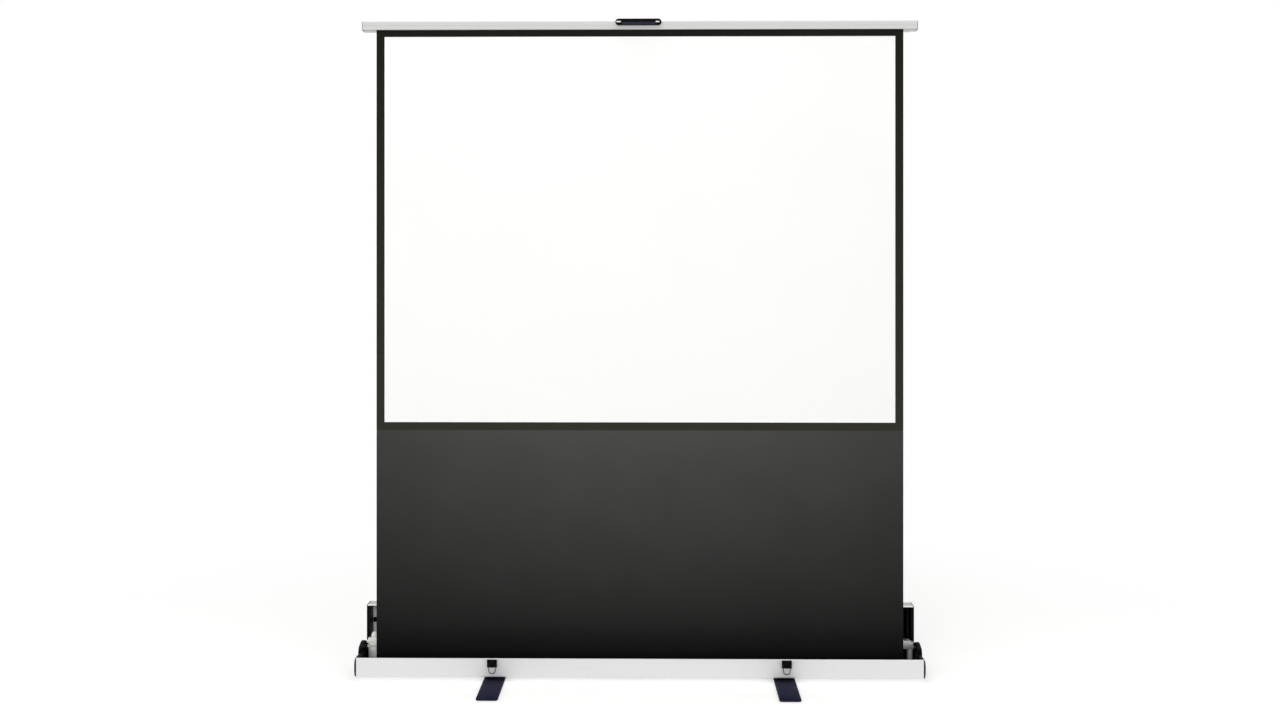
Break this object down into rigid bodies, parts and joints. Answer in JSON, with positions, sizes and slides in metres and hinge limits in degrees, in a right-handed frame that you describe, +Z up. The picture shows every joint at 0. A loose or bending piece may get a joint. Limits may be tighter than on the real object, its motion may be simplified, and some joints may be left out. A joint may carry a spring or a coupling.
{
  "type": "portable projection screen",
  "caption": "Floor-standing projection screen: a flat aluminium case with swivel feet, a spring roller sheet with black border, folding arms behind it, a top bar and an open lid.",
  "frame": {"origin": "on the floor under the middle of the case, between the two feet", "axes": "+Z up, the picture faces -Y, +X to the viewer's right as they look at the picture"},
  "size_m": [1.796, 0.53, 2.089],
  "materials": {
    "case_aluminium": "satin anodised",
    "arm_aluminium": "mill finish",
    "cast_aluminium": "cast and tumbled",
    "hinge_aluminium": "satin",
    "roller_aluminium": "mill finish",
    "navy_plastic": "moulded, fine texture",
    "handle_plastic": "moulded, semi-gloss",
    "black_plastic": "moulded",
    "latch_plastic": "moulded, semi-gloss",
    "bar_cap_plastic": "moulded",
    "foam_pad": "closed-cell foam",
    "foot_rubber": "moulded rubber",
    "steel_fittings": "zinc plated",
    "steel_wire": "drawn wire",
    "white_cloth": "matt white coated screen cloth",
    "border_cloth": "black printed screen border",
    "black_cloth": "black coated cloth"
  },
  "bodies": {
    "case": {"base_tray": "case_aluminium", "base_cap_left": "navy_plastic", "base_cap_right": "navy_plastic", "hinge_leaf_base": "hinge_aluminium", "hinge_pin": "steel_fittings", "roller_arbor": "steel_fittings", "roller_spring": "steel_fittings", "roller_bracket_left": "steel_fittings", "roller_bracket_right": "steel_fittings", "picture_sheet": "white_cloth", "black_border": "border_cloth", "black_drop": "black_cloth", "arm_pedestal_left": "cast_aluminium", "arm_pedestal_right": "cast_aluminium", "base_pin_left": "steel_fittings", "base_pin_right": "steel_fittings", "foot_bolt_left": "steel_fittings", "foot_bolt_right": "steel_fittings", "latch_base_left": "latch_plastic", "latch_base_right": "latch_plastic"},
    "lid": {"lid_shell": "case_aluminium", "lid_end_left": "black_plastic", "lid_end_right": "black_plastic", "lid_pad_left": "foam_pad", "lid_pad_right": "foam_pad", "hinge_leaf_lid": "hinge_aluminium", "lid_catch_left": "steel_fittings", "lid_catch_right": "steel_fittings", "handle_plate": "steel_fittings"},
    "carry_handle": {"carry_handle": "black_plastic"},
    "roller": {"roller_tube": "roller_aluminium", "roller_plug_left": "black_plastic", "roller_plug_right": "black_plastic", "sheet_on_roller": "black_cloth"},
    "lower_arm_left": {"lower_arm_left": "arm_aluminium", "knee_pin_left": "steel_fittings"},
    "upper_arm_left": {"upper_arm_left": "arm_aluminium"},
    "top_bar": {"top_bar": "case_aluminium", "bar_cap_left": "bar_cap_plastic", "bar_cap_right": "bar_cap_plastic", "pull_handle": "handle_plastic", "bar_bracket_left": "arm_aluminium", "bar_bracket_right": "arm_aluminium", "top_pin_left": "steel_fittings", "top_pin_right": "steel_fittings"},
    "lower_arm_right": {"lower_arm_right": "arm_aluminium", "knee_pin_right": "steel_fittings"},
    "upper_arm_right": {"upper_arm_right": "arm_aluminium"},
    "foot_left": {"foot_left": "navy_plastic", "foot_pad_left_front": "foot_rubber", "foot_pad_left_rear": "foot_rubber"},
    "foot_right": {"foot_right": "navy_plastic", "foot_pad_right_front": "foot_rubber", "foot_pad_right_rear": "foot_rubber"},
    "latch_lever_left": {"latch_lever_left": "latch_plastic"},
    "latch_lever_right": {"latch_lever_right": "latch_plastic"},
    "latch_bail_left": {"latch_bail_left": "steel_wire"},
    "latch_bail_right": {"latch_bail_right": "steel_wire"}
  },
  "joints": [
    {"name": "fold", "type": "hinge", "parent": "case", "child": "lower_arm_left", "pos_m": [-0.835, 0.006, 0.102], "axis": [0, 1, 0], "range_deg": [0, 63], "deforming": ["picture_sheet", "black_border", "black_drop"]},
    {"name": "knee_left", "type": "hinge", "parent": "lower_arm_left", "child": "upper_arm_left", "pos_m": [-0.33333, -0.004, 1.0885], "axis": [0, 1, 0], "range_deg": [-126, 0]},
    {"name": "bar_pivot_left", "type": "hinge", "parent": "upper_arm_left", "child": "top_bar", "pos_m": [-0.835, -0.004, 2.075], "axis": [0, 1, 0], "range_deg": [0, 63]},
    {"name": "base_pivot_right", "type": "hinge", "parent": "case", "child": "lower_arm_right", "pos_m": [0.835, 0.026, 0.102], "axis": [0, 1, 0], "range_deg": [-63, 0]},
    {"name": "knee_right", "type": "hinge", "parent": "lower_arm_right", "child": "upper_arm_right", "pos_m": [0.33333, 0.016, 1.0885], "axis": [0, 1, 0], "range_deg": [0, 126]},
    {"name": "roller_turn", "type": "hinge", "parent": "case", "child": "roller", "pos_m": [0, -0.0225, 0.044], "axis": [1, 0, 0], "range_deg": [0, 5985]},
    {"name": "lid_swing", "type": "hinge", "parent": "case", "child": "lid", "pos_m": [0, 0.0695, 0.074], "axis": [1, 0, 0], "range_deg": [0, 12]},
    {"name": "carry_handle_swing", "type": "hinge", "parent": "lid", "child": "carry_handle", "pos_m": [0, 0.084, 0.218], "axis": [1, 0, 0], "range_deg": [0, 90]},
    {"name": "foot_turn_left", "type": "hinge", "parent": "case", "child": "foot_left", "pos_m": [-0.457, 0, 0.0085], "axis": [0, 0, 1], "range_deg": [0, 90]},
    {"name": "foot_turn_right", "type": "hinge", "parent": "case", "child": "foot_right", "pos_m": [0.457, 0, 0.0085], "axis": [0, 0, -1], "range_deg": [0, 90]},
    {"name": "latch_left", "type": "hinge", "parent": "case", "child": "latch_lever_left", "pos_m": [-0.463, -0.0716, 0.0677], "axis": [-1, 0, 0], "range_deg": [0, 90]},
    {"name": "latch_right", "type": "hinge", "parent": "case", "child": "latch_lever_right", "pos_m": [0.463, -0.0716, 0.0677], "axis": [-1, 0, 0], "range_deg": [0, 90]},
    {"name": "bail_left", "type": "hinge", "parent": "latch_lever_left", "child": "latch_bail_left", "pos_m": [-0.463, -0.0716, 0.0602], "axis": [-1, 0, 0], "range_deg": [0, 80]},
    {"name": "bail_right", "type": "hinge", "parent": "latch_lever_right", "child": "latch_bail_right", "pos_m": [0.463, -0.0716, 0.0602], "axis": [-1, 0, 0], "range_deg": [0, 80]}
  ],
  "couplings": [
    {"joint": "knee_left", "follows": "fold", "ratio": -2},
    {"joint": "bar_pivot_left", "follows": "fold", "ratio": 1},
    {"joint": "base_pivot_right", "follows": "fold", "ratio": -1},
    {"joint": "knee_right", "follows": "fold", "ratio": 2},
    {"joint": "roller_turn", "follows": "fold", "ratio": 95}
  ]
}
